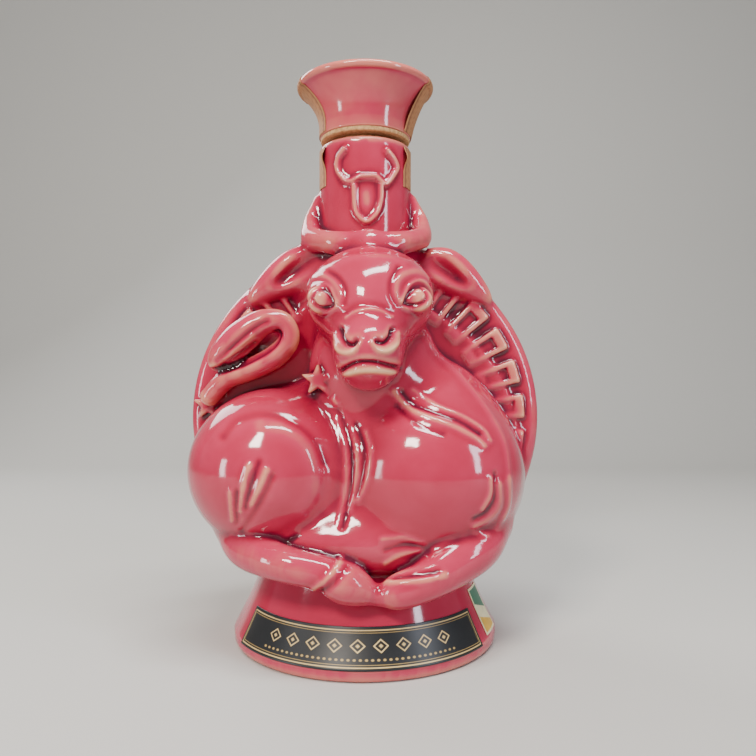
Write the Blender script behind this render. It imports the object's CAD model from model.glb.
"""Looks of a figural ceramic decanter: a bull lying on a flared foot in front of a round flask."""

import math
from functools import partial

import bpy
import numpy as np
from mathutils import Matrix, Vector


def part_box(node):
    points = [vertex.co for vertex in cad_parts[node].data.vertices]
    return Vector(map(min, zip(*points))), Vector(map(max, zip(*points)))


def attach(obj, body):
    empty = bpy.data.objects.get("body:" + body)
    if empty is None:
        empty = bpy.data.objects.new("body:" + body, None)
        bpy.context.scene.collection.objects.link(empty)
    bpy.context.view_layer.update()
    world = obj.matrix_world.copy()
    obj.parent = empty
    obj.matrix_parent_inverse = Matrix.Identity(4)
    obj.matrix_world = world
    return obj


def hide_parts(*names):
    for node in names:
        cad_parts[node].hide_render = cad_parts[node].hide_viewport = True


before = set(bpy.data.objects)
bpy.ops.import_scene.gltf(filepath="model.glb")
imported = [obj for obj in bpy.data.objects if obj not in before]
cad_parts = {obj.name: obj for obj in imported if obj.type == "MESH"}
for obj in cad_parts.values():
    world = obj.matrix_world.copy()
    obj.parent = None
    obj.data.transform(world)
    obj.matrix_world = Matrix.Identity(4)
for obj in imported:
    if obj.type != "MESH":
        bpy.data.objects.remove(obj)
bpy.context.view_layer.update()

# Shapes are worked out in millimetres and put into meshes in metres. A micron keeps divisions from zero.
MM = 0.001
MICRON = 0.001


def span(cad_node):
    """A CAD node's lowest and highest corners, in millimetres."""
    low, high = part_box(cad_node)
    return np.array(low) / MM, np.array(high) / MM


# Places and sizes taken from the frame
FOOT_RADIUS = span("foot")[1][0]
BACK_LOW, BACK_HIGH = span("body_back")
DISC_RADIUS = BACK_HIGH[0]
DISC_FRONT = BACK_LOW[1]
CENTRE = np.array((0.0, 0.0, BACK_HIGH[2] - DISC_RADIUS))
NECK_TOP = span("neck")[1][2]
CORK_LOW, CORK_HIGH = span("stopper_cork")
WASHER_LOW, WASHER_HIGH = span("stopper_washer")
HEAD_LOW, HEAD_HIGH = span("stopper_head")
STRIP_LOW, STRIP_HIGH = span("left_neck_strip")

# The photograph's camera: level, square to the front, in millimetres and in pixels of its 756 pixel frame
CAMERA = np.array((5.5, -310.0, 108.3))
FRAME_PIXELS = 756
FOCAL_PIXELS = 722.0
SENSOR = 36.0

# Sculpt: steps of its grid for the whole and for fine work, fine steps to a coarse one, coarse steps
# searched on either side of the surface, rounds and least slope when points settle, and room round the
# casting and its face
STEP = 0.95
FINE_STEP = 0.42
COARSE = 4
SEARCH = 1.6
SETTLE_ROUNDS = 3
LEAST_SLOPE = 0.2
GRID_MARGIN = 4.0
FACE_MARGIN = 12.0

# How far the finer parts lap and sink under their neighbours, the sign's strength where it ends and where
# it starts to lap, the thickness of the skins, the distance given to points far off, and pieces between
# points of a curve
LAP = 1.2
LAP_SINK = 0.08
SIGN_EDGES = (0.15, 0.35)
SKIN = 0.6
SKY = 60.0
LIMB_PIECES = 10
STROKE_PIECES = 4

# Foot, disc and neck. A lean makes up for a side that isn't upright, so that it reads as a distance.
FOOT_TOP_RADIUS = 38.5
FOOT_HEIGHT = 50.0
FOOT_EDGE = 5.0
FOOT_FLARE_POWER = 1.49
FOOT_LEAN = 0.94
FOOT_UNDER_ROUND = 2.5
DISC_HALF_THICKNESS = 8.5
DISC_ROUND = 4.5
SWELL_BLEND = 8.0
NECK_RADIUS = 19.3
NECK_ROOT_RADIUS = 26.0
NECK_STRAIGHT = 36.0
NECK_FLARE_TOP = NECK_TOP - NECK_STRAIGHT
NECK_FLARE_HEIGHT = 24.0
NECK_HEEL = 22.0
NECK_DRAW_IN = 0.3
NECK_ROOT_ROUND = 4.0
NECK_LEAN = 0.9
NECK_LIP_ROUND = 2.4
BORE_RADIUS = 13.0
BORE_DEPTH = 55.0
BORE_FLOOR = NECK_TOP - BORE_DEPTH
BORE_ROUND = 1.6

# Bull: places from its middle and half sizes, as shares of the disc's radius. Blends are in millimetres.
BULL_SHIFT = 2.5
BULL = CENTRE + np.array((BULL_SHIFT, 0.0, 0.0))


def on_bull(shares):
    """A place on the bull, given in shares of the disc's radius."""
    return BULL + np.array(shares) * DISC_RADIUS


TORSO_SHARES = {
    "belly": ((-0.01, -0.08, -0.34), (0.88, 0.50, 0.60)),
    "chest": ((0.322, -0.26, -0.288), (0.507, 0.48, 0.493)),
    "shoulder": ((0.267, -0.192, -0.178), (0.48, 0.342, 0.534)),
    "brisket": ((-0.03, -0.27, -0.62), (0.66, 0.40, 0.25)),
    "throat": ((0.02, -0.24, 0.26), (0.356, 0.315, 0.41)),
}
TRUNK_BLEND = 7.0
THIGH_BLEND = 4.0
THIGH_SHARES = ((-0.527, -0.247, -0.274), (0.466, 0.46, 0.44))
BACK_SHARES = ((-0.034, 0.0, -0.20), (0.86, 0.62, 0.86))
CRANIUM_SHARES = ((0.0, -0.397, 0.644), (0.336, 0.308, 0.274))
NOSE_SHARES = ((0.0, -0.54, 0.50), (0.20, 0.22, 0.26))
MUZZLE_SHARES = ((-0.008, -0.657, 0.35), (0.172, 0.219, 0.19))
EYE_SHARES = (0.237, -0.60, 0.615)
EYE_RADIUS = 5.2
NOSE_BLEND = 7.0
MUZZLE_BLEND = 5.0
EYE_BLEND = 1.5
EAR_SHARES = (0.50, -0.11, 0.80)
EAR_RADII = (16.0, 5.6, 7.6)
EAR_HOLLOW_RADII = (10.5, 4.4, 2.9)
EAR_HOLLOW_SHIFT = (-6.0, -0.8, -1.8)
EAR_TILT = math.radians(36.0)
EAR_TAPER = 0.35
EAR_HOLLOW_ROUND = 3.0
# Limbs: places as the shares above, and the radius there in millimetres
TAIL = (
    (-0.9, -0.17, 0.12, 4.0), (-0.8, -0.19, 0.22, 4.3), (-0.664, -0.205, 0.274, 4.6),
    (-0.527, -0.215, 0.345, 4.7), (-0.452, -0.22, 0.438, 4.3), (-0.486, -0.22, 0.527, 4.3),
    (-0.596, -0.215, 0.53, 5.4), (-0.719, -0.205, 0.447, 6.8), (-0.822, -0.19, 0.342, 6.0),
    (-0.875, -0.175, 0.29, 1.6),
)
HIND_LEG = (
    (-0.73, -0.33, -0.59, 7.6), (-0.625, -0.51, -0.655, 7.6), (-0.42, -0.67, -0.69, 6.6),
    (-0.22, -0.69, -0.735, 6.3), (-0.11, -0.685, -0.785, 7.4), (0.035, -0.67, -0.85, 3.0),
)
FORE_LEG = (
    (0.62, -0.34, -0.555, 10.5), (0.535, -0.5, -0.635, 10.2), (0.39, -0.61, -0.715, 8.8),
    (0.27, -0.665, -0.78, 7.2), (0.14, -0.68, -0.825, 6.3), (0.06, -0.67, -0.85, 2.8),
)

# Boxes of the parts that are worked finer, in millimetres
HEAD_BOX = ((-32.0, -70.0, 98.0), (38.0, 4.0, 168.0))
SIGN_BOX = ((-21.0, -26.0, 166.0), (23.0, -4.0, 205.0))

# Horns: each leaves the middle of the forehead and turns round the neck
HORN_DROP = 4.5
HORN_LOW = BACK_HIGH[2] - HORN_DROP
HORN_SHIFT = 1.8
HORN_STAND_OFF = 5.6
HORN_TIP_STAND_OFF = 1.2
HORN_RISE = 23.0
HORN_TURN = math.radians(84.0)
HORN_RADII = (5.0, 4.6, 3.9, 3.2, 1.5)
HORN_STEPS = 5

# Ornaments
STAR_RADIUS = 6.8
STAR_WAIST = 0.47
STAR_DEPTH = 3.0
STAR_ROUND = 1.6
RIM_STAR = on_bull((-0.925, (DISC_FRONT - STAR_DEPTH) / DISC_RADIUS, 0.07))
CHIN_STAR = on_bull((-0.272, -0.47, 0.213))
CHIN_STAR_DEPTH = 12.0
RAY_REACH = (48.5, 66.85)
RAY_RELIEF = 2.6
RAY_WIDTH = math.radians(8.6)
RAY_STEP = math.radians(13.0)
RAY_PANEL_SHARE = 0.55
RAY_PANEL_DEPTH = 1.3
RAY_ROUND = 1.2
RAY_PANEL_ROUND = 1.0
RAY_ROOT = 1.0
RAY_ROOM = 6.0
# Where each fan of rays starts, which way it goes round and how many rays it has
RIGHT_RAYS = (math.radians(56.0), -1, 6)
LEFT_RAYS = (math.radians(128.0), 1, 3)

# How softly each form runs into the rest of the casting, in millimetres
BLENDS = {
    "body_back": 3.0,
    "foot": 3.0,
    "neck": 9.0,
    "bull_head": 4.0,
    "left_horn": 4.0,
    "right_horn": 4.0,
    "left_ear": 6.0,
    "right_ear": 6.0,
    "tail": 2.5,
    "hind_leg": 2.5,
    "fore_leg": 3.0,
    "rim_star": 1.0,
    "chin_star": 1.0,
    "right_rays": 1.0,
    "left_rays": 1.0,
}

# Modelled relief on each form, drawn over the photograph: height in millimetres, then half width and
# points in pixels. Its tint is the glaze that it gains for each millimetre of height, within limits of
# the height.
RELIEF = {
    "bull_head": {
        "left eye opening": (-0.9, 1.7, (311, 299), (315, 292), (322, 289), (329, 293), (334, 304),
            (326, 308), (317, 306), (311, 299)),
        "left upper lid": (0.6, 2.2, (308, 298), (313, 288), (322, 284), (331, 289), (337, 303)),
        "left lower lid": (0.5, 2.0, (309, 303), (316, 311), (326, 313), (336, 307)),
        "left brow": (0.56, 5.0, (307, 283), (314, 277), (324, 277), (334, 284), (340, 296), (340, 306)),
        "left frown": (-0.51, 3.2, (329, 272), (339, 279), (345, 290), (344, 304)),
        "right eye opening": (-0.9, 1.7, (404, 303), (409, 293), (415, 287), (421, 287), (427, 293),
            (427, 299), (420, 304), (411, 305), (404, 303)),
        "right upper lid": (0.6, 2.2, (401, 302), (407, 289), (414, 282), (422, 282), (430, 290),
            (431, 299)),
        "right lower lid": (0.5, 2.0, (403, 308), (412, 310), (421, 309), (430, 303)),
        "right brow": (0.56, 5.0, (398, 302), (396, 290), (399, 279), (408, 273), (418, 272), (428, 278)),
        "right frown": (-0.51, 3.2, (398, 268), (391, 281), (391, 295), (396, 305)),
        "poll groove": (-0.61, 3.8, (325, 261), (344, 253), (366, 250), (389, 250), (407, 255)),
        "forehead edge": (0.28, 5.0, (329, 268), (348, 259), (368, 256), (386, 257), (405, 262)),
        "nose fold": (0.5, 2.2, (346, 318), (355, 312), (368, 309), (381, 311), (392, 317)),
        "above nose fold": (-0.24, 3.8, (347, 313), (356, 306), (368, 304), (381, 306), (391, 312)),
        "left nostril": (-1.9, 2.8, (340, 329), (341, 337), (346, 343), (352, 344), (356, 341)),
        "right nostril": (-1.9, 2.8, (393, 330), (391, 337), (385, 342), (378, 341)),
        "left nostril rim": (0.6, 2.5, (335, 336), (335, 344), (339, 351), (347, 353), (355, 350),
            (359, 342)),
        "right nostril rim": (0.6, 2.5, (398, 333), (397, 344), (388, 351), (378, 350), (372, 343)),
        "mouth": (-1.7, 2.2, (340, 371), (349, 366), (357, 363), (367, 362), (378, 363), (390, 366),
            (400, 368)),
        "lower lip": (0.6, 3.0, (346, 374), (357, 371), (369, 370), (384, 371), (394, 372)),
        "under the lip": (-0.32, 3.8, (345, 381), (360, 384), (378, 384), (394, 379)),
        "cheek fold": (0.7, 2.2, (429, 330), (426, 345), (417, 357), (412, 365)),
        "jaw fold": (0.6, 2.2, (433, 338), (429, 352), (415, 368), (405, 378)),
        "between the folds": (-0.7, 2.0, (431, 334), (427, 349), (416, 362), (408, 372)),
        "left jaw": (-0.28, 3.8, (322, 345), (330, 362), (338, 376)),
    },
    "body_front": {
        "thigh arch": (-0.63, 5.1, (223, 436), (234, 422), (252, 415), (275, 415), (297, 425), (314, 440),
            (324, 462)),
        "thigh swell": (0.58, 10.2, (262, 428), (285, 432), (303, 446), (313, 468), (313, 490), (303, 510)),
        "stifle fold, outer": (0.63, 2.7, (230, 492), (231, 506), (233, 520)),
        "stifle fold, middle": (0.73, 3.2, (249, 466), (243, 488), (240, 510)),
        "stifle fold, inner": (0.68, 3.2, (267, 470), (260, 486), (251, 504)),
        "stifle groove, outer": (-0.53, 2.9, (237, 492), (237, 506), (236, 522)),
        "stifle groove, inner": (-0.63, 3.2, (259, 462), (252, 482), (245, 508)),
        "stifle groove, last": (-0.44, 3.4, (272, 476), (266, 492), (254, 512), (242, 530)),
        "hock fold": (-0.77, 2.7, (236, 550), (251, 554), (267, 550), (297, 536)),
        "flank fold, left": (0.48, 3.4, (336, 419), (345, 445), (347, 475), (343, 505), (340, 525)),
        "flank groove": (-0.77, 3.2, (339, 408), (349, 432), (352, 460), (351, 486), (346, 512),
            (342, 526)),
        "flank fold, middle": (0.68, 2.9, (334, 399), (343, 414), (352, 436), (357, 460), (355, 486),
            (349, 510)),
        "chest groove": (-0.53, 3.2, (356, 424), (363, 445), (363, 470), (357, 494)),
        "chest fold": (0.53, 2.9, (366, 432), (371, 453), (367, 480), (358, 500)),
        "neck fold, low": (0.77, 3.4, (394, 391), (402, 402), (413, 411), (433, 419), (456, 428),
            (476, 439), (484, 446)),
        "neck groove, low": (-0.48, 3.6, (397, 406), (409, 417), (428, 428), (443, 434)),
        "neck groove, high": (-0.73, 3.2, (402, 392), (413, 404), (433, 411), (459, 420), (480, 433)),
        "neck fold, high": (0.58, 2.9, (413, 390), (424, 398), (441, 408), (463, 417), (483, 430),
            (490, 441)),
        "shoulder edge": (0.44, 2.9, (441, 358), (458, 373), (478, 397), (494, 421), (505, 445), (509, 478),
            (507, 505), (497, 529)),
        "elbow fold, inner": (0.58, 2.7, (491, 478), (490, 494), (482, 509)),
        "elbow groove": (-0.68, 2.7, (495, 474), (495, 498), (486, 512), (474, 519)),
        "elbow fold, middle": (0.68, 3.2, (499, 484), (499, 505), (489, 518), (474, 526)),
        "elbow fold, outer": (0.44, 2.7, (508, 478), (508, 503), (503, 517)),
        "belly fold, high": (0.44, 2.9, (382, 539), (404, 537), (422, 543)),
        "belly groove": (-0.58, 2.7, (385, 550), (404, 545), (421, 546)),
        "belly fold, low": (0.58, 2.6, (385, 563), (400, 555), (419, 550)),
    },
    "fore_leg": {
        "knee edge": (0.66, 3.4, (433, 548), (448, 539), (467, 529), (487, 536)),
        "forearm groove": (-0.96, 3.6, (394, 576), (419, 574), (437, 572)),
        "forearm fold": (0.54, 3.2, (384, 582), (404, 582), (426, 580), (445, 575)),
    },
    "hind_leg": {
        "hoof edge": (0.72, 3.1, (314, 588), (327, 579), (340, 562), (341, 549)),
        "pastern": (-0.54, 3.9, (322, 592), (335, 582), (347, 566)),
    },
    "tail": {
        "tuft groove, high": (-0.84, 2.8, (217, 362), (234, 345), (254, 328), (267, 321)),
        "tuft groove, low": (-0.72, 2.5, (223, 365), (243, 352), (256, 343)),
        "tuft ridge": (0.48, 2.8, (212, 366), (232, 352), (252, 336)),
        "tail parting": (-1.44, 3.8, (210, 372), (236, 366), (258, 356), (273, 345), (278, 334)),
        "tail edge": (0.48, 4.0, (241, 309), (267, 305), (288, 315), (298, 332), (295, 349)),
    },
}
RELIEF_TINT = 0.26
TINT_LIMITS = (-1.2, 0.9)

# Bull-head sign in relief on the neck, drawn the same way
EMBLEM_HEIGHT = 1.4
EMBLEM_HALF_WIDTH = 2.6
EMBLEM_POWER = 4
EMBLEM_LINES = (
    ((345, 149), (339, 158), (338, 169), (343, 178), (350, 182), (358, 178), (362, 176.5), (375, 176.5),
     (380, 181), (386, 184), (393, 175), (396, 168), (393, 159), (387, 151)),
    ((354, 185), (355, 204), (358, 215), (366.5, 222), (376, 214), (380.5, 200), (381, 185)),
)

# Thinner, paler glaze on each form: strength, then half width and points in pixels of the photograph
PALE_GLAZE = {
    "bull_head": {
        "left eyeball": (0.25, 4.0, (321, 299), (322, 300)),
        "right eyeball": (0.25, 4.0, (417, 294), (418, 295)),
        "lip": (0.55, 2.6, (350, 374), (369, 371), (390, 373)),
        "left rim": (0.4, 2.4, (335, 344), (340, 351), (347, 353), (355, 350)),
        "right rim": (0.4, 2.4, (397, 344), (388, 351), (378, 350)),
    },
    "neck": {
        "sign": (0.6, 5.0, (366, 194), (367, 202)),
    },
}

# Drawn lines take where the surface faces the front, from an edge on over an ease, both shares of a
# normal, and fade over a distance from the form that carries them. Pale glaze ends at a distance.
# Distances are in millimetres.
FACING_EDGE = 0.05
FACING_EASE = 0.3
CARRIED_EASE = 2.5
PALE_REACH = 1.5

# Two looks at how far a point stands out of its surroundings: rounds of easing on a grid of the glaze's
# step, the height in millimetres that counts as one, the most that counts, and its weight. The sum is
# softened by some rounds.
GLAZE_STEP = 0.8
GLAZE_LOOKS = ((4, 0.16, 1.2, 0.5), (30, 0.9, 1.0, 0.42))
GLAZE_SOFTENING = 3


# Distances, in millimetres, that shape the casting


def smooth_union(first, second, reach):
    """The lower of two distances, eased within the reach by a parabola."""
    ease = np.maximum(reach - np.abs(first - second), 0.0) / reach
    return np.minimum(first, second) - ease * ease * reach / 4


def smooth_overlap(first, second, reach):
    """The higher of two distances, eased within the reach."""
    return -smooth_union(-first, -second, reach)


def length(*parts):
    """The square root of the sum of the parts' squares."""
    return np.sqrt(sum(part * part for part in parts))


def ellipsoid(p, centre, radii):
    """Level of the point against a unit ball after the radii are divided out, over the level's slope."""
    parts = [(p[axis] - centre[axis]) / radii[axis] for axis in range(3)]
    level = length(*parts)
    slope = length(*[part / radius for part, radius in zip(parts, radii)])
    return level * (level - 1.0) / np.maximum(slope, MICRON)


def lobe(p, shares):
    """One rounded mass of the bull, given in shares of the disc's radius."""
    return ellipsoid(p, on_bull(shares[0]), np.array(shares[1]) * DISC_RADIUS)


def curve_through(points, pieces):
    """A smooth curve through points: each piece is a cubic whose slope at a point is half the way between
    the point's neighbours."""
    points = np.asarray(points, float)
    ends = np.concatenate([2 * points[:1] - points[1:2], points, 2 * points[-1:] - points[-2:-1]])
    share = np.linspace(0.0, 1.0, pieces, endpoint=False)[:, None]
    line = []
    for before, start, end, after in zip(ends[:-3], ends[1:-2], ends[2:-1], ends[3:]):
        leave, arrive = (end - before) / 2, (after - start) / 2
        bend = 2 * (start - end) + leave + arrive
        lean = 3 * (end - start) - 2 * leave - arrive
        line.append(start + share * (leave + share * (lean + share * bend)))
    return np.concatenate(line + [points[-1:]])


def limb(p, points, radii):
    """Distance to a smooth curve through points, less the radius, which runs smoothly from point to
    point."""
    line = curve_through(np.column_stack([points, radii]), LIMB_PIECES)
    points, radii = line[:, :3], line[:, 3]
    margin = max(radii) + 2 * max(BLENDS.values())
    low, high = points.min(0) - margin, points.max(0) + margin
    near = np.all([(p[axis] > low[axis]) & (p[axis] < high[axis]) for axis in range(3)], axis=0)
    q = [part[near] for part in p]
    best = None
    for start, end, thick, thin in zip(points[:-1], points[1:], radii[:-1], radii[1:]):
        run = end - start
        reach = [q[axis] - start[axis] for axis in range(3)]
        along = np.clip(sum(reach[axis] * run[axis] for axis in range(3)) / (run @ run), 0.0, 1.0)
        off = length(*[reach[axis] - along * run[axis] for axis in range(3)])
        gap = off - thick - (thin - thick) * along
        best = gap if best is None else np.minimum(best, gap)
    distance = np.full(p[0].shape, SKY, np.float32)
    distance[near] = best
    return distance


def bull_limb(p, table):
    """A limb of the bull, from its table of places and radii."""
    return limb(p, [on_bull(row[:3]) for row in table], [row[3] for row in table])


def foot_radius(height):
    """The foot's radius: an upright edge, then a radius that falls with a power of the height."""
    share = np.clip((height - FOOT_EDGE) / (FOOT_HEIGHT - FOOT_EDGE), 0.0, 1.0)
    return FOOT_TOP_RADIUS + (FOOT_RADIUS - FOOT_TOP_RADIUS) * (1.0 - share) ** FOOT_FLARE_POWER


def foot_form(p):
    """A flared lathe form with a rounded underside."""
    side = (length(p[0], p[1]) - foot_radius(p[2])) * FOOT_LEAN
    return smooth_overlap(np.maximum(side, p[2] - FOOT_HEIGHT), -p[2], FOOT_UNDER_ROUND)


def back_form(p):
    """A round plate with rounded edges, and a swelling lobe behind it."""
    middle = DISC_FRONT + DISC_HALF_THICKNESS
    out = length(p[0] - CENTRE[0], p[2] - CENTRE[2]) - (DISC_RADIUS - DISC_ROUND)
    through = np.abs(p[1] - middle) - (DISC_HALF_THICKNESS - DISC_ROUND)
    corner = length(np.maximum(out, 0.0), np.maximum(through, 0.0))
    plate = corner + np.minimum(np.maximum(out, through), 0.0) - DISC_ROUND
    swell = np.maximum(lobe(p, BACK_SHARES), DISC_FRONT - p[1])
    return smooth_union(plate, swell, SWELL_BLEND)


def front_form(p):
    """The bull's trunk and throat run softly together, and the thigh lies on them with a crease."""
    trunk = None
    for shares in TORSO_SHARES.values():
        mass = lobe(p, shares)
        trunk = mass if trunk is None else smooth_union(trunk, mass, TRUNK_BLEND)
    trunk = smooth_union(trunk, lobe(p, THIGH_SHARES), THIGH_BLEND)
    return np.maximum(trunk, p[1] - DISC_FRONT - DISC_HALF_THICKNESS)


def neck_form(p):
    """A straight neck that widens into its root with the square of the depth, and draws in again below
    it."""
    root = NECK_FLARE_TOP - NECK_FLARE_HEIGHT
    share = np.maximum((NECK_FLARE_TOP - p[2]) / NECK_FLARE_HEIGHT, 0.0)
    flare = NECK_RADIUS + (NECK_ROOT_RADIUS - NECK_RADIUS) * share * share
    heel = NECK_ROOT_RADIUS + NECK_DRAW_IN * (p[2] - root)
    radius = smooth_union(flare, heel, NECK_ROOT_ROUND)
    side = (length(p[0], p[1]) - radius) * NECK_LEAN
    closed = smooth_overlap(side, p[2] - NECK_TOP, NECK_LIP_ROUND)
    return np.maximum(closed, root - NECK_HEEL - p[2])


def head_form(p):
    """Cranium, nose and muzzle run together, and the eyeballs stand out of them."""
    head = smooth_union(lobe(p, CRANIUM_SHARES), lobe(p, NOSE_SHARES), NOSE_BLEND)
    head = smooth_union(head, lobe(p, MUZZLE_SHARES), MUZZLE_BLEND)
    for side in (-1, 1):
        centre = on_bull((side * EYE_SHARES[0], EYE_SHARES[1], EYE_SHARES[2]))
        eye = length(*[p[axis] - centre[axis] for axis in range(3)]) - EYE_RADIUS
        head = smooth_union(head, eye, EYE_BLEND)
    return head


def horn_form(p, side):
    """A horn that turns round the neck, comes nearer to it and climbs with the square of its length."""
    share = np.linspace(0.0, 1.0, HORN_STEPS)
    turn = HORN_TURN * np.sin(share * math.pi / 2)
    reach = NECK_RADIUS + HORN_TIP_STAND_OFF + HORN_STAND_OFF * (1 - share**3)
    across = HORN_SHIFT * (1 - share) + side * reach * np.sin(turn)
    points = np.stack([across, -reach * np.cos(turn), HORN_LOW + HORN_RISE * share**2], axis=1)
    return limb(p, points, HORN_RADII)


def ear_form(p, side):
    """A leaf that droops outwards, with a scoop in its front."""
    centre = on_bull((side * EAR_SHARES[0], EAR_SHARES[1], EAR_SHARES[2]))
    cosine, sine = math.cos(EAR_TILT), side * math.sin(EAR_TILT)
    x, y, z = (p[axis] - centre[axis] for axis in range(3))
    local = (x * cosine - z * sine, y, x * sine + z * cosine)
    along = side * local[0] / EAR_RADII[0]
    taper = 1.0 - EAR_TAPER * np.clip(along, -1.0, 1.0)
    local = (local[0], local[1] / taper, local[2] / taper)
    leaf = ellipsoid(local, (0, 0, 0), EAR_RADII) * (1.0 - EAR_TAPER)
    hollow_place = (side * EAR_HOLLOW_SHIFT[0], EAR_HOLLOW_SHIFT[1] - EAR_RADII[1], EAR_HOLLOW_SHIFT[2])
    hollow = ellipsoid(local, hollow_place, EAR_HOLLOW_RADII)
    return smooth_overlap(leaf, -hollow, EAR_HOLLOW_ROUND)


def star_form(p, centre, depth):
    """A five-pointed star: the point is folded into one half of a ray and measured from that ray's
    edge."""
    x, z = p[0] - centre[0], p[2] - centre[2]
    fold = 2 * math.pi / 5
    turn = np.abs((np.arctan2(x, z) + fold / 2) % fold - fold / 2)
    reach = length(x, z)
    waist = STAR_RADIUS * STAR_WAIST
    waist_out, waist_across = waist * math.cos(fold / 2), waist * math.sin(fold / 2)
    normal = np.array((waist_across, STAR_RADIUS - waist_out))
    normal /= np.hypot(*normal)
    side = (reach * np.cos(turn) - STAR_RADIUS) * normal[0] + reach * np.sin(turn) * normal[1]
    through = np.abs(p[1] - centre[1] - depth / 2) - depth / 2
    return smooth_overlap(side, through, STAR_ROUND)


def ray_form(p, fan):
    """Raised wedges round the disc's face, each with a sunk panel."""
    start, way, count = fan
    x, z = p[0] - CENTRE[0], p[2] - CENTRE[2]
    near = (np.abs(p[1] - DISC_FRONT) < 3 * RAY_RELIEF) & (length(x, z) > RAY_REACH[0] - RAY_ROOM)
    reach = length(x, z)[near]
    turn = np.arctan2(z, x)[near]
    y = p[1][near]
    half = (RAY_REACH[1] - RAY_REACH[0]) / 2
    along = np.abs(reach - sum(RAY_REACH) / 2)
    front = DISC_FRONT - RAY_RELIEF
    best = np.full(reach.shape, SKY, np.float32)
    for index in range(count):
        across = np.abs(turn - start - way * index * RAY_STEP)
        side = smooth_overlap((across - RAY_WIDTH / 2) * reach, along - half, RAY_ROUND)
        block = smooth_overlap(side, front - y, RAY_ROUND)
        panel_side = (across - RAY_WIDTH / 2 * RAY_PANEL_SHARE) * reach
        panel_side = np.maximum(panel_side, along - half * RAY_PANEL_SHARE)
        panel = np.maximum(panel_side, y - front - RAY_PANEL_DEPTH)
        block = smooth_overlap(block, -panel, RAY_PANEL_ROUND)
        best = np.minimum(best, np.maximum(block, y - DISC_FRONT - RAY_ROOT))
    distance = np.full(p[0].shape, SKY, np.float32)
    distance[near] = best
    return distance


FORMS = {
    "foot": foot_form,
    "body_front": front_form,
    "body_back": back_form,
    "neck": neck_form,
    "bull_head": head_form,
    "left_horn": partial(horn_form, side=-1),
    "right_horn": partial(horn_form, side=1),
    "left_ear": partial(ear_form, side=-1),
    "right_ear": partial(ear_form, side=1),
    "tail": partial(bull_limb, table=TAIL),
    "hind_leg": partial(bull_limb, table=HIND_LEG),
    "fore_leg": partial(bull_limb, table=FORE_LEG),
    "rim_star": partial(star_form, centre=RIM_STAR, depth=STAR_DEPTH),
    "chin_star": partial(star_form, centre=CHIN_STAR, depth=CHIN_STAR_DEPTH),
    "right_rays": partial(ray_form, fan=RIGHT_RAYS),
    "left_rays": partial(ray_form, fan=LEFT_RAYS),
}


def all_forms(p):
    """Each node's own form, as a distance at every point."""
    return {name: form(p) for name, form in FORMS.items()}


def casting(p):
    """The whole glazed casting: all forms run together, with the bore let into the neck and a flat
    underside."""
    forms = all_forms(p)
    whole = forms["body_front"]
    for name, reach in BLENDS.items():
        whole = smooth_union(whole, forms[name], reach)
    bore = np.maximum(length(p[0], p[1]) - BORE_RADIUS, BORE_FLOOR - p[2])
    return np.maximum(smooth_overlap(whole, -bore, BORE_ROUND), -p[2])


# Mesh of the casting


def sample_band(low, high, step):
    """The casting on a grid in a box, worked out only near its surface; further off a coarse value stands
    in."""
    counts = np.ceil((high - low) / (step * COARSE)).astype(int)
    rough_axes = [low[axis] + step * COARSE * (np.arange(counts[axis]) + 0.5) for axis in range(3)]
    rough_grid = np.meshgrid(*rough_axes, indexing="ij")
    rough = casting([part.ravel().astype(np.float32) for part in rough_grid]).reshape(counts)
    reach = step * COARSE * SEARCH
    fine = np.repeat(np.repeat(np.repeat(rough, COARSE, 0), COARSE, 1), COARSE, 2)
    near = np.nonzero(np.abs(fine) < reach)
    points = [(low[axis] + step * (near[axis] + 0.5)).astype(np.float32) for axis in range(3)]
    fine[near] = casting(points)
    return fine, low + step / 2


CORNERS = np.array([(i, j, k) for i in (0, 1) for j in (0, 1) for k in (0, 1)])
CORNER_PAIRS = [(a, b) for a in range(8) for b in range(a + 1, 8)]
CELL_EDGES = [(a, b) for a, b in CORNER_PAIRS if np.abs(CORNERS[a] - CORNERS[b]).sum() == 1]


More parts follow.
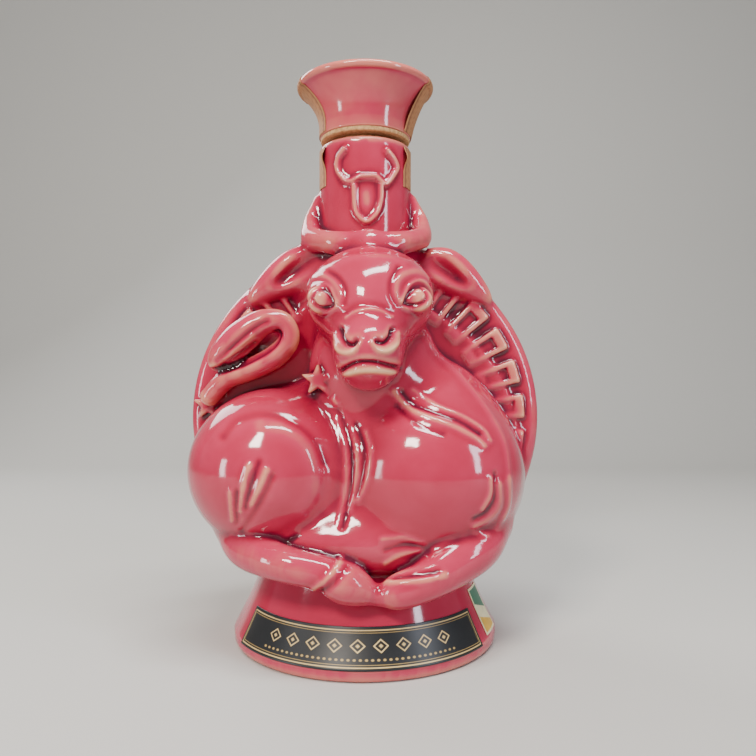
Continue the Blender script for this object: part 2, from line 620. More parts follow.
def surface_net(field, origin, step):
    """One point in each cell that the surface crosses, at the mean of its edge crossings, and a quad on
    each grid edge that the surface crosses."""
    inside = field < 0
    sizes = np.array(field.shape) - 1
    count = np.zeros(sizes, np.int8)
    for corner in CORNERS:
        window = tuple(slice(offset, offset + size) for offset, size in zip(corner, sizes))
        count += inside[window]
    cells = np.argwhere((count > 0) & (count < 8))
    number = np.full(sizes, -1, np.int64)
    number[tuple(cells.T)] = np.arange(len(cells))
    values = np.stack([field[tuple((cells + corner).T)] for corner in CORNERS], axis=1)
    total = np.zeros((len(cells), 3))
    crossings = np.zeros(len(cells))
    for first, second in CELL_EDGES:
        one, two = values[:, first], values[:, second]
        crossed = (one < 0) != (two < 0)
        share = np.where(crossed, one / np.where(crossed, one - two, 1.0), 0.0)
        place = CORNERS[first] + share[:, None] * (CORNERS[second] - CORNERS[first])
        total += crossed[:, None] * place
        crossings += crossed
    points = origin + step * (cells + total / crossings[:, None])
    quads = []
    for axis in range(3):
        ahead = [slice(None)] * 3
        behind = [slice(None)] * 3
        ahead[axis], behind[axis] = slice(1, None), slice(None, -1)
        flips = inside[tuple(behind)].astype(np.int8) - inside[tuple(ahead)]
        edges = np.argwhere(flips != 0)
        sides = [other for other in range(3) if other != axis]
        edges = edges[np.all(edges[:, sides] > 0, axis=1)]
        edges = edges[np.all(edges[:, sides] < sizes[sides], axis=1)]
        ring = []
        for back_one, back_two in ((1, 1), (0, 1), (0, 0), (1, 0)):
            cell = edges.copy()
            cell[:, sides[0]] -= back_one
            cell[:, sides[1]] -= back_two
            ring.append(number[tuple(cell.T)])
        quad = np.stack(ring, axis=1)
        outward = flips[tuple(edges.T)] > 0
        turned = outward if axis != 1 else ~outward
        quads.append(np.where(turned[:, None], quad, quad[:, ::-1]))
    return points, np.concatenate(quads)


def settle(points, step):
    """Moves points onto the casting's surface, down its slope, and never by more than half a step at a
    time."""
    probe = step / 4
    for _ in range(SETTLE_ROUNDS):
        p = [points[:, axis].astype(np.float32) for axis in range(3)]
        value = casting(p)
        slope = []
        for axis in range(3):
            shifted = [part + probe if axis == other else part for other, part in enumerate(p)]
            slope.append((casting(shifted) - value) / probe)
        slope = np.stack(slope, axis=1)
        move = -value[:, None] * slope / np.maximum((slope * slope).sum(1), LEAST_SLOPE)[:, None]
        points = points + np.clip(move, -step / 2, step / 2)
    return points


def add_up(corners, columns, count):
    """Sums of each column's values at the corners that they belong to."""
    return np.stack([np.bincount(corners, column, count) for column in columns], axis=1)


def corner_normals(points, quads):
    """Normals of the points: the faces' diagonals crossed, added up at each point."""
    faces = np.cross(points[quads[:, 2]] - points[quads[:, 0]], points[quads[:, 3]] - points[quads[:, 1]])
    total = add_up(quads.ravel(), [np.repeat(column, 4) for column in faces.T], len(points))
    return total / np.maximum(np.linalg.norm(total, axis=1), MICRON)[:, None]


def ease_points(points, quads, rounds):
    """Points drawn to the mean of their neighbours, some rounds over."""
    ends = np.concatenate([quads, quads[:, ::-1]]).ravel()
    others = np.concatenate([np.roll(quads, 1, 1), np.roll(quads[:, ::-1], 1, 1)]).ravel()
    degree = np.maximum(np.bincount(ends, minlength=len(points)), 1)[:, None]
    for _ in range(rounds):
        near = [column[others] for column in points.T]
        points = (points + add_up(ends, near, len(points)) / degree) / 2
    return points


def in_photograph(points):
    """Pixels at which the photograph's camera sees the points."""
    depth = points[:, 1] - CAMERA[1]
    across = FRAME_PIXELS / 2 + FOCAL_PIXELS * (points[:, 0] - CAMERA[0]) / depth
    down = FRAME_PIXELS / 2 - FOCAL_PIXELS * (points[:, 2] - CAMERA[2]) / depth
    return np.stack([across, down], axis=1)


def stroke(pixels, line, half_width, power=2):
    """One on a drawn line, falling off with the distance from it as a bell curve."""
    line = curve_through(line, STROKE_PIECES)
    low, high = line.min(0) - 3 * half_width, line.max(0) + 3 * half_width
    near = np.all((pixels > low) & (pixels < high), axis=1)
    strength = np.zeros(len(pixels))
    pixels = pixels[near]
    nearest = np.full(len(pixels), np.inf)
    for start, end in zip(line[:-1], line[1:]):
        run = end - start
        along = np.clip((pixels - start) @ run / (run @ run), 0.0, 1.0)
        gap = pixels - start - along[:, None] * run
        nearest = np.minimum(nearest, (gap * gap).sum(1))
    strength[near] = np.exp(-((nearest / (half_width * half_width)) ** (power / 2)))
    return strength


def carve(points, quads, forms):
    """Raises and sinks the drawn lines on the forms that carry them, where they face the front."""
    normals = corner_normals(points, quads)
    pixels = in_photograph(points)
    facing = np.clip((-normals[:, 1] - FACING_EDGE) / FACING_EASE, 0.0, 1.0) * (points[:, 1] < 0.0)
    carried = {}
    for form in (*RELIEF, "neck"):
        carried[form] = facing * np.clip(1.0 - forms[form] / CARRIED_EASE, 0.0, 1.0)
    height = np.zeros(len(points))
    tint = np.zeros(len(points))
    for form, marks in RELIEF.items():
        for rise, half_width, *line in marks.values():
            mark = stroke(pixels, line, half_width) * carried[form]
            height += rise * mark
            tint += np.clip(rise, *TINT_LIMITS) * RELIEF_TINT * mark
    sign = np.max([stroke(pixels, line, EMBLEM_HALF_WIDTH, EMBLEM_POWER) for line in EMBLEM_LINES], axis=0)
    sign = sign * carried["neck"]
    height += EMBLEM_HEIGHT * sign
    for form, marks in PALE_GLAZE.items():
        for strength, half_width, *line in marks.values():
            tint += strength * stroke(pixels, line, half_width) * facing * (forms[form] < PALE_REACH)
    return points + height[:, None] * normals, tint, sign


def glaze_depth(points, quads, tint, step=STEP):
    """How the glaze lies: above zero it runs thin over edges, below zero it pools in creases."""
    normals = corner_normals(points, quads)
    rounds = (GLAZE_STEP / step) ** 2
    depth = tint
    for passes, unit, limit, weight in GLAZE_LOOKS:
        stands_out = ((points - ease_points(points, quads, round(passes * rounds))) * normals).sum(1)
        depth = depth + np.clip(stands_out / unit, -limit, limit) * weight
    return ease_points(depth[:, None], quads, round(GLAZE_SOFTENING * rounds))[:, 0]


# Putting meshes together


def grid_quads(rows, columns, wrap=False):
    """Quads of a grid of points, whose last column joins the first one if it wraps."""
    last = columns if wrap else columns - 1
    row, column = np.meshgrid(np.arange(rows - 1), np.arange(last), indexing="ij")
    beside = (column + 1) % columns
    ring = ((row, column), (row, beside), (row + 1, beside), (row + 1, column))
    return np.stack([(down * columns + across).ravel() for down, across in ring], axis=1)


def closed_shell(outer, quads, inner):
    """A skin between two layers of points: outer quads, inner ones turned round, and a rim on each free
    edge."""
    count = len(outer)
    ahead = np.stack([quads, np.roll(quads, -1, 1)], axis=2).reshape(-1, 2)
    keys = ahead[:, 0] * count + ahead[:, 1]
    back = ahead[:, 1] * count + ahead[:, 0]
    free = ahead[~np.isin(keys, back)]
    rim = np.stack([free[:, 1], free[:, 0], free[:, 0] + count, free[:, 1] + count], axis=1)
    return np.concatenate([outer, inner]), np.concatenate([quads, quads[:, ::-1] + count, rim])


def make_piece(name, points, quads, material, body, nodes, attributes=None, normals=None):
    """A mesh in metres from points in millimetres, riding on a body in place of its CAD nodes."""
    mesh = bpy.data.meshes.new(name)
    mesh.vertices.add(len(points))
    mesh.vertices.foreach_set("co", (points * MM).astype(np.float32).ravel())
    mesh.loops.add(quads.size)
    mesh.polygons.add(len(quads))
    mesh.polygons.foreach_set("loop_start", np.arange(0, quads.size, 4, dtype=np.int32))
    mesh.loops.foreach_set("vertex_index", quads.astype(np.int32).ravel())
    mesh.update(calc_edges=True)
    mesh.polygons.foreach_set("use_smooth", np.ones(len(quads), bool))
    for key, values in (attributes or {}).items():
        mesh.attributes.new(key, "FLOAT", "POINT").data.foreach_set("value", values.astype(np.float32))
    if normals is not None:
        mesh.normals_split_custom_set_from_vertices(normals.tolist())
    mesh.materials.append(material)
    piece = bpy.data.objects.new(name, mesh)
    bpy.context.scene.collection.objects.link(piece)
    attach(piece, body)
    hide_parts(*nodes)


def sculpt(low, high, step):
    """The casting's surface in a box: points, quads, glaze, normals, each form's distance over the
    nearest one's, and the sign's strength."""
    field, origin = sample_band(np.array(low), np.array(high), step)
    points, quads = surface_net(field, origin, step)
    points = settle(points, step)
    forms = all_forms([points[:, axis].astype(np.float32) for axis in range(3)])
    points, tint, sign = carve(points, quads, forms)
    points[:, 2] = np.maximum(points[:, 2], 0.0)
    over = np.stack(list(forms.values()), axis=1)
    over -= over.min(1)[:, None]
    return points, quads, glaze_depth(points, quads, tint, step), corner_normals(points, quads), over, sign


def glazed_skin(name, material, points, own, depth, normals):
    """One piece of the casting: the quads it owns as a closed skin."""
    used, faces = np.unique(own, return_inverse=True)
    outer = points[used]
    shell, faces = closed_shell(outer, faces.reshape(-1, 4), outer - SKIN * normals[used])
    both = np.concatenate([normals[used], -normals[used]])
    glaze = {"glaze": np.concatenate([depth[used], depth[used]])}
    make_piece(name + "_glazed", shell, faces, material, "decanter", [name], glaze, both)


def fine_part(name, material, box, lap_of):
    """A part of the casting that is worked finer. Its lap grows from 0 at its joints to 1 where it ends,
    and there it sinks a little under its neighbours."""
    points, quads, depth, normals, over, sign = sculpt(*box, FINE_STEP)
    lap = lap_of(over, sign)
    points -= (LAP_SINK * np.clip(lap, 0.0, 1.0))[:, None] * normals
    glazed_skin(name, material, points, quads[lap[quads].mean(1) < 1.0], depth, normals)


def head_lap(over, sign):
    """The head's lap: how much nearer another form is, over the width of the lap."""
    return over[:, list(FORMS).index("bull_head")] / LAP


def sign_lap(over, sign):
    """The sign's lap: how far its strength has fallen from where it starts to lap to where it ends."""
    return (SIGN_EDGES[1] - sign) / (SIGN_EDGES[1] - SIGN_EDGES[0])


def sculpt_casting(material):
    """The casting, split along the joints of its pieces: a quad goes to the form that most of its corners
    are nearest to. The face and the sign are worked finer."""
    low = np.array((-DISC_RADIUS, -FOOT_RADIUS - FACE_MARGIN, 0.0)) - GRID_MARGIN
    high = np.array((DISC_RADIUS, FOOT_RADIUS, NECK_TOP)) + GRID_MARGIN
    points, quads, depth, normals, over, sign = sculpt(low, high, STEP)
    near = over.argmin(1)
    near[sign > SIGN_EDGES[1]] = len(FORMS)
    ranked = np.sort(near[quads], axis=1)
    pick = np.where(ranked[:, 0] == ranked[:, 1], ranked[:, 0], ranked[:, 2])
    for index, name in enumerate(FORMS):
        if name != "bull_head":
            glazed_skin(name, material, points, quads[pick == index], depth, normals)
    fine_part("bull_head", material, HEAD_BOX, head_lap)
    fine_part("neck_emblem", material, SIGN_BOX, sign_lap)


# Stopper, with the bends of its profiles, from the first corner to the last, and how finely they are
# divided
STEM_PROUD = 0.1
STOPPER_STEM_RADIUS = NECK_RADIUS + STEM_PROUD
STOPPER_STEM_HEIGHT = 4.0
STOPPER_LIP = 3.2
STOPPER_RIM = HEAD_HIGH[0] - STOPPER_LIP / 2
STOPPER_DISH = 2.5
STOPPER_FLARE_POWER = 2.0
STOPPER_BENDS = (0.3, 0.3, 0.7)
CORK_BENDS = (2.0, 0.5)
WASHER_BENDS = (0.3, 0.6, 0.6, 0.3)
LATHE_TURNS = 160
CORK_ROWS = 160
HEAD_ROWS = (28, 14, 24)

# The stopper's glaze is thinner than the casting's.
THIN_GLAZE = 0.34


def lathe(profile, turns=LATHE_TURNS):
    """A profile of radius and height turned about the axis. It starts and ends on the axis, or closes on
    itself."""
    angle = np.linspace(0.0, 2 * math.pi, turns, endpoint=False)
    radius, height = profile[:, 0:1], profile[:, 1:2]
    points = np.stack([radius * np.cos(angle), radius * np.sin(angle), height + 0 * angle], axis=2)
    return points.reshape(-1, 3), grid_quads(len(profile), turns, wrap=True)


def rounded(corners, rounds, steps=7):
    """A line through corners, each rounded by a bend of the given size: a curve pulled towards the
    corner."""
    corners = np.asarray(corners, float)
    line = [corners[:1]]
    share = np.linspace(0.0, 1.0, steps)[:, None]
    for before, corner, after, size in zip(corners[:-2], corners[1:-1], corners[2:], rounds):
        back = corner + (before - corner) * min(1.0, size / np.hypot(*(before - corner)))
        ahead = corner + (after - corner) * min(1.0, size / np.hypot(*(after - corner)))
        line.append((1 - share) ** 2 * back + 2 * share * (1 - share) * corner + share**2 * ahead)
    return np.concatenate(line + [corners[-1:]])


def stopper_side(share):
    """Radius and height on the stopper's side: the radius grows with a power of the height above the
    stem."""
    low = HEAD_LOW[2] + STOPPER_STEM_HEIGHT
    high = HEAD_HIGH[2] - STOPPER_LIP
    flare = (STOPPER_RIM - STOPPER_STEM_RADIUS) * share**STOPPER_FLARE_POWER
    return STOPPER_STEM_RADIUS + flare, low + (high - low) * share


def dish_height(radius):
    """The stopper's top is a shallow bowl, whose depth falls with the square of the radius to none at the
    rim."""
    return HEAD_HIGH[2] - STOPPER_DISH * (1.0 - np.minimum(radius / STOPPER_RIM, 1.0) ** 2)


def over_stopper(flare_rows, lip_rows, dish_rows):
    """Radius and height up the stopper's flare, over its rounded lip and into the middle of its dish."""
    flare = np.stack(stopper_side(np.linspace(0.0, 1.0, flare_rows)[1:]), axis=1)
    turn = np.linspace(-math.pi / 2, math.pi / 2, lip_rows)[1:]
    lip = np.stack([np.cos(turn), np.sin(turn) - 1.0], axis=1) * STOPPER_LIP / 2
    lip += (STOPPER_RIM, HEAD_HIGH[2])
    radius = np.linspace(STOPPER_RIM, 0.0, dish_rows)[1:]
    return np.concatenate([flare, lip, np.stack([radius, dish_height(radius)], axis=1)])


def stopper_profile():
    """From the cork's socket round the stem, and over the stopper to its middle."""
    cork, top, low = CORK_HIGH[0], CORK_HIGH[2], HEAD_LOW[2]
    stem = [(0.0, top), (cork, top), (cork, low), (STOPPER_STEM_RADIUS, low),
            (STOPPER_STEM_RADIUS, low + STOPPER_STEM_HEIGHT)]
    return np.concatenate([rounded(stem, STOPPER_BENDS), over_stopper(*HEAD_ROWS)])


def turned_piece(name, profile, material, body, cad_node, glazed=False):
    """A piece turned from its profile, with the stopper's thin glaze where it is glazed."""
    points, quads = lathe(profile)
    attributes = {"glaze": glaze_depth(points, quads, np.full(len(points), THIN_GLAZE))} if glazed else None
    make_piece(name, points, quads, material, body, [cad_node], attributes)


def make_stopper(glaze, fibre, cork):
    """Head, cork and seal ring. The cork's rows are spaced evenly along its profile, so that its grain
    shows."""
    line = stopper_profile()
    turned_piece("stopper_head_glazed", line, glaze, "stopper", "stopper_head", True)
    low, high, radius = CORK_LOW[2], CORK_HIGH[2], CORK_HIGH[0]
    line = rounded([(0.0, low), (radius, low), (radius, high), (0.0, high)], CORK_BENDS)
    steps = np.concatenate([[0.0], np.cumsum(np.hypot(*np.diff(line, axis=0).T))])
    rows = np.linspace(0.0, 1.0, CORK_ROWS) * steps[-1]
    line = np.stack([np.interp(rows, steps, column) for column in line.T], axis=1)
    turned_piece("stopper_cork_bark", line, cork, "stopper", "stopper_cork")
    low, high, radius = WASHER_LOW[2], WASHER_HIGH[2], WASHER_HIGH[0]
    seam = (BORE_RADIUS, (low + high) / 2)
    ring = [seam, (BORE_RADIUS, low), (radius, low), (radius, high), (BORE_RADIUS, high), seam]
    line = rounded(ring, WASHER_BENDS)
    turned_piece("stopper_washer_fibre", line, fibre, "washer", "stopper_washer")


# Papers on the foot, in millimetres, and how each lies: its turn from the front towards the right, its
# width as an angle, and its rows and columns
PAPER = 0.2
GLUE = 0.15
LABEL_LAY = (math.radians(-2.0), math.radians(117.0), (70, 460))
STICKER_LAY = (math.radians(71.0), math.radians(15.0), (80, 60))

# Print on the label, in shares of its height, and across it of one lozenge's field: border lines with
# their place, half width and strength, then the lozenges and the beads below them
LABEL_ASPECT = 8.0
BORDER_LINES = ((0.085, 0.018, 1.0), (0.14, 0.01, 0.8))
BORDER_END = 0.16
LOZENGES = 9
LOZENGE_ROW_HALF = 0.36
LOZENGE_PLACE = 0.56
LOZENGE_SIZE = (0.72, 0.17)
LOZENGE_RING = (0.85, 0.15)
LOZENGE_HEART = 0.35
BEADS_EACH = 4
BEAD_PLACE = 0.25
BEAD_SIZE = (0.34, 0.035)
BEAD_STRENGTH = 0.8

# Fields of the sticker: slant, the shares of its height at which they change, their inks, and its pale
# edge
STICKER_SLANT = 0.25
STICKER_CHANGES = (0.28, 0.55)
STICKER_INKS = (0.9, 0.5, 0.1)
STICKER_ASPECT = 0.8
STICKER_EDGE = 0.05

# Closure strip, in millimetres: size, the tear's waves, the loose edge's curl in shares of the strip, and
# its print
STRIP_HALF_WIDTH = 11.0
STRIP_ROWS = 90
STRIP_COLUMNS = 64
STRIP_GLUE = 0.08
TEAR_WAVES = 5
TEAR_RATES = (5, 7)
TEAR_FALL = 1.5
TEAR_DEPTH = 0.45
TEAR_SPREAD = 3
CURL_WIDTH = 0.16
CURL_PLACE = 0.72
CURL_LENGTH = 0.2
CURL_LIFT = 1.9
LINE_RATE = 2.6
WAVE_RATE = 1.9
WAVE_SWAY = 2.2
WAVE_SWAY_RATE = 0.9
LINE_STRENGTH = 0.35
STRIP_BORDER = (1.2, 0.35, 0.8)

# The strip's rest over the stopper: glue, its end on the stem, how far it stands off, and its rows
REST_GLUE = 0.1
REST_END = 0.3
REST_STAND_OFF = 1.7
REST_STEM_ROWS = 12
REST_ROWS = (36, 16, 30)
REST_PRINT_STEP = 0.6


def paper_piece(name, outer, inner, shape, material, body, cad_node, slot, ink):
    """A sheet of paper from its outer and inner grids of points, with its print as an attribute."""
    quads = grid_quads(*shape)
    middle = quads[len(quads) // 2]
    face = np.cross(outer[middle[2]] - outer[middle[0]], outer[middle[3]] - outer[middle[1]])
    if face @ (outer[middle[0]] - inner[middle[0]]) < 0:
        quads = quads[:, ::-1]
    points, faces = closed_shell(outer, quads, inner)
    make_piece(name, points, faces, material, body, [cad_node], {"ink": np.concatenate([ink, ink])})


def around_foot(turn, height, proud):
    """Points on the foot's side, turned from the front towards the right, standing proud of it."""
    radius = foot_radius(height) + proud
    return np.stack([radius * np.sin(turn), -radius * np.cos(turn), height], axis=-1).reshape(-1, 3)


def edge_distance(u, v, aspect):
    """Distance from a paper's nearest edge, as a share of its height."""
    return np.minimum(np.minimum(u, 1 - u) * aspect, np.minimum(v, 1 - v))


def printed(distance, half_width):
    """One on a printed mark, falling off steeply at its half width."""
    return np.exp(-((distance / half_width) ** 4))


def label_ink(u, v):
    """Print on the label, from 0 to 1: a double border line, and a row of lozenges over a row of
    beads."""
    edge = edge_distance(u, v, LABEL_ASPECT)
    border = sum(strength * printed(edge - place, half) for place, half, strength in BORDER_LINES)
    inside = (np.abs(u - 0.5) < LOZENGE_ROW_HALF) & (edge > BORDER_END)
    cell = (u - 0.5 + LOZENGE_ROW_HALF) / (2 * LOZENGE_ROW_HALF) * LOZENGES
    across = np.abs(cell % 1.0 - 0.5) * 2
    lozenge = across / LOZENGE_SIZE[0] + np.abs(v - LOZENGE_PLACE) / LOZENGE_SIZE[1]
    rings = printed(lozenge - LOZENGE_RING[0], LOZENGE_RING[1]) + printed(lozenge, LOZENGE_HEART)
    bead = np.hypot((cell * BEADS_EACH % 1.0 - 0.5) / BEAD_SIZE[0], (v - BEAD_PLACE) / BEAD_SIZE[1])
    return np.clip(border + inside * (rings + BEAD_STRENGTH * printed(bead, 1.0)), 0.0, 1.0)


def sticker_ink(u, v):
    """Slanting fields on the sticker inside an edge: a number from 0 to 1 picks the colour."""
    field = np.digitize(v + STICKER_SLANT * (u - 0.5), STICKER_CHANGES, right=True)
    edge = edge_distance(u, v, STICKER_ASPECT) < STICKER_EDGE
    return np.where(edge, STICKER_INKS[1], np.array(STICKER_INKS)[field])


def foot_paper(cad_node, lay, ink_of, material, slot):
    """A paper round the foot's side, between its CAD node's heights."""
    turn, width, grid = lay
    low, high = span(cad_node)
    u, v = np.meshgrid(np.linspace(0, 1, grid[1]), np.linspace(0, 1, grid[0]))
    around = turn + (u - 0.5) * width
    height = low[2] + v * (high[2] - low[2])
    layers = [around_foot(around, height, proud) for proud in (GLUE + PAPER, GLUE)]
    ink = ink_of(u, v).ravel()
    paper_piece(cad_node + "_paper", *layers, grid, material, "decanter", cad_node, slot, ink)


def torn(share, seed):
    """A torn edge: a few waves of rising rate and falling height, up to about a millimetre deep."""
    phases = np.random.default_rng(seed).uniform(0.0, 2 * math.pi, TEAR_WAVES)
    waves = [np.sin(share * (TEAR_RATES[0] + TEAR_RATES[1] * index) + phase) / (TEAR_FALL + index)
             for index, phase in enumerate(phases)]
    return sum(waves) * TEAR_DEPTH


def strip_ink(along, across):
    """Fine engraved lines along the strip, broken by waves, and a border line, from 0 to 1."""
    lines = 0.5 + 0.5 * np.sin(across * LINE_RATE)
    waves = 0.5 + 0.5 * np.sin(along * WAVE_RATE + WAVE_SWAY * np.sin(across * WAVE_SWAY_RATE))
    inset, width, strength = STRIP_BORDER
    border = np.exp(-(((np.abs(across) - STRIP_HALF_WIDTH + inset) / width) ** 2))
    return np.clip(LINE_STRENGTH * lines * waves + strength * border, 0.0, 1.0)


def make_neck_strip(name, side, material, seed):
    """Paper on one side of the neck, torn at both ends, with one edge that has come loose and curls
    outwards."""
    across, along = np.meshgrid(np.linspace(-1, 1, STRIP_COLUMNS), np.linspace(0, 1, STRIP_ROWS))
    y = across * STRIP_HALF_WIDTH
    low = STRIP_LOW[2] + np.abs(torn(across * TEAR_SPREAD, seed))
    high = STRIP_HIGH[2] - np.abs(torn(across * TEAR_SPREAD + 1, seed + 1))
    z = low + along * (high - low)
    off = length((across + 1) / CURL_WIDTH, (along - CURL_PLACE) / CURL_LENGTH)
    curl = CURL_LIFT * np.exp(-(off**2))
    turn = np.arcsin(np.clip(y / NECK_RADIUS, -1, 1))
    layers = []
    for proud in (STRIP_GLUE + PAPER, STRIP_GLUE):
        radius = NECK_RADIUS + proud + curl
        sheet = np.stack([side * radius * np.cos(turn), radius * np.sin(turn), z], axis=-1)
        layers.append(sheet.reshape(-1, 3))
    ink = strip_ink(z, y).ravel()
    paper_piece(name + "_paper", *layers, across.shape, material, "decanter", name, "strip_paper", ink)


def make_stopper_strip(material):
    """The strip over the stopper hugs the left side and the dish, and stands off the right flare like a
    chord."""
    stem = HEAD_LOW[2] + np.linspace(REST_END, STOPPER_STEM_HEIGHT - REST_END, REST_STEM_ROWS)
    stem = np.stack([np.full(REST_STEM_ROWS, STOPPER_STEM_RADIUS), stem], axis=1)
    half = np.concatenate([stem, over_stopper(*REST_ROWS)])
    slope = np.gradient(half, axis=0)
    outward = np.stack([slope[:, 1], -slope[:, 0]], axis=1)
    outward /= np.linalg.norm(outward, axis=1)[:, None]
    low, high = HEAD_LOW[2], HEAD_HIGH[2] - STOPPER_LIP
    share = np.clip((half[:, 1] - low) / (high - low), 0.0, 1.0)
    on_flare = half[:, 0] > NECK_RADIUS
    stand_off = np.where(on_flare, REST_STAND_OFF * np.sin(math.pi * share), 0.0)
    y = np.linspace(-STRIP_HALF_WIDTH, STRIP_HALF_WIDTH, STRIP_COLUMNS)
    layers = []
    for proud in (REST_GLUE + PAPER, REST_GLUE):
        left = half + outward * proud
        right = half + outward * (proud + stand_off[:, None])
        radius = np.concatenate([-left[:, 0], right[::-1, 0][1:]])[:, None]
        height = np.concatenate([left[:, 1], right[::-1, 1][1:]])[:, None]
        flat = np.abs(radius) < NECK_RADIUS
        bend = np.sqrt(np.maximum(radius**2 - y**2, 0.0)) * np.sign(radius)
        x = np.where(flat, radius + 0 * y, bend)
        z = np.where(flat, dish_height(np.hypot(radius, y)) + proud, height + 0 * y)
        layers.append(np.stack([x, y + 0 * x, z], axis=-1).reshape(-1, 3))
    along = np.arange(len(radius))[:, None] * REST_PRINT_STEP + 0 * y
    ink = strip_ink(along, y + 0 * along).ravel()
    paper_piece("stopper_strip_paper", *layers, along.shape, material, "stopper", "stopper_strip",
                "strip_paper", ink)


# Materials: the places and colours of their ramps. The glaze's depth of none is at the middle of its
# ramp, and a depth of one is a step from there. Clouds move it by half their spread either way.
CLOUD_SPREAD = 0.5
RAMP_STEP = 0.4
RAMP_MIDDLE = 0.5
GLAZE_COLOURS = (
    (0.0, "#2e0a10"), (0.26, "#5c1029"), (0.46, "#a31b39"),
    (0.6, "#b52f4c"), (0.8, "#d07966"), (1.0, "#e8b68a"),
)
FIBRE_COLOURS = ((0.3, "#a07446"), (0.5, "#bd9160"), (0.75, "#cfa678"))
CORK_COLOURS = ((0.35, "#8a5a33"), (0.55, "#b98352"), (0.72, "#cfa06d"))
STRIP_COLOURS = ((0.0, "#a9744a"), (0.5, "#8a5836"), (1.0, "#5f3a25"))
LABEL_COLOURS = ((0.0, "#17181a"), (0.35, "#1d1b18"), (0.75, "#b3965a"), (1.0, "#d8c08a"))
STICKER_COLOURS = ((0.25, "#2f6b4f"), (0.3, "#e6dcae"), (0.7, "#e6dcae"), (0.75, "#d9a92f"))


def paint(code):
    """An sRGB hex value as a linear colour."""
    parts = [int(code[place : place + 2], 16) / 255 for place in (1, 3, 5)]
    linear = [part / 12.92 if part <= 0.04045 else ((part + 0.055) / 1.055) ** 2.4 for part in parts]
    return (*linear, 1.0)


def add(tree, kind, inputs=None, stops=None, **settings):
    """Adds one node: settings are its properties, inputs are values or other nodes' sockets, and stops
    are a ramp's places and hex colours."""
    made = tree.nodes.new(kind)
    for key, value in settings.items():
        setattr(made, key, value)
    for key, value in (inputs or {}).items():
        if isinstance(value, bpy.types.NodeSocket):
            tree.links.new(value, made.inputs[key])
        else:
            made.inputs[key].default_value = value
    for index, (place, colour) in enumerate(stops or ()):
        ramp = made.color_ramp.elements
        stop = ramp[index] if index < len(ramp) else ramp.new(place)
        stop.position = place
        stop.color = paint(colour)
    return made


def new_material(name):
    """A material, its nodes and the socket of its Object coordinates."""
    material = bpy.data.materials.new(name)
    material.use_nodes = True
    tree = material.node_tree
    return material, tree, add(tree, "ShaderNodeTexCoord").outputs["Object"]


def finish_surface(tree, colour, height, strength, depth, **shader_values):
    """Ends a material: its colour, a relief from a height of the given depth in millimetres, and values
    that are the same all over, named as the shader's sockets with _ for a space."""
    shader = tree.nodes["Principled BSDF"]
    bump = add(tree, "ShaderNodeBump", {"Height": height, "Strength": strength, "Distance": depth * MM})
    tree.links.new(colour, shader.inputs["Base Color"])
    tree.links.new(bump.outputs["Normal"], shader.inputs["Normal"])
    for socket, value in shader_values.items():
        shader.inputs[socket.replace("_", " ")].default_value = value


def pattern_scale(size):
    """Scale of a pattern on Object coordinates whose features are about the given size in millimetres."""
    return 1.0 / (size * MM)


def rose_glaze():
    """Glossy rose lead glaze over a cream earthenware body: thin and creamy on edges, dark where it
    pools, with broad clouds of 16 mm and a faint orange peel of 5 mm."""
    material, tree, place = new_material("glazed_earthenware_rose")
    depth = add(tree, "ShaderNodeAttribute", attribute_name="glaze").outputs["Fac"]
    cloud = add(tree, "ShaderNodeTexNoise", {"Vector": place, "Scale": pattern_scale(16), "Detail": 3.0})
    spread = {0: cloud.outputs["Fac"], 1: CLOUD_SPREAD, 2: -CLOUD_SPREAD / 2}
    drift = add(tree, "ShaderNodeMath", spread, operation="MULTIPLY_ADD")
    level = add(tree, "ShaderNodeMath", {0: depth, 1: drift.outputs[0]}, operation="ADD")
    on_ramp = {0: level.outputs[0], 1: RAMP_STEP, 2: RAMP_MIDDLE}
    share = add(tree, "ShaderNodeMath", on_ramp, operation="MULTIPLY_ADD")
    colour = add(tree, "ShaderNodeValToRGB", {"Fac": share.outputs[0]}, GLAZE_COLOURS)
    peel = add(tree, "ShaderNodeTexNoise", {"Vector": place, "Scale": pattern_scale(5), "Detail": 2.0})
    finish_surface(tree, colour.outputs["Color"], peel.outputs["Fac"], 0.05, 0.4,
                   Roughness=0.1, IOR=1.5, Coat_Weight=0.15, Coat_Roughness=0.04)
    return material


def printed_paper(name, stops, roughness, grain):
    """Printed paper: its colours follow the print, dulled unevenly by age, with a faint fibre grain of
    the given size in millimetres."""
    material, tree, place = new_material(name)
    ink = add(tree, "ShaderNodeAttribute", attribute_name="ink").outputs["Fac"]
    colour = add(tree, "ShaderNodeValToRGB", {"Fac": ink}, stops)
    cloud = add(tree, "ShaderNodeTexNoise", {"Vector": place, "Scale": pattern_scale(3.5), "Detail": 4.0})
    age = add(tree, "ShaderNodeMapRange", {"Value": cloud.outputs["Fac"], "To Min": 0.72, "To Max": 1.2})
    fibre = add(tree, "ShaderNodeTexNoise", {"Vector": place, "Scale": pattern_scale(grain), "Detail": 3.0})
    dulled = {"Color": colour.outputs["Color"], "Value": age.outputs["Result"]}
    tint = add(tree, "ShaderNodeHueSaturation", dulled)
    finish_surface(tree, tint.outputs["Color"], fibre.outputs["Fac"], 0.25, 0.1, Roughness=roughness)
    return material


def fibre_board():
    """Pressed fibre seal ring, tan and matt, darker in its pores of about 1 mm."""
    material, tree, place = new_material("pressed_fibre_tan")
    speck = add(tree, "ShaderNodeTexNoise", {"Vector": place, "Scale": pattern_scale(1.2), "Detail": 5.0})
    colour = add(tree, "ShaderNodeValToRGB", {"Fac": speck.outputs["Fac"]}, FIBRE_COLOURS)
    finish_surface(tree, colour.outputs["Color"], speck.outputs["Fac"], 0.15, 0.1, Roughness=0.85)
    return material


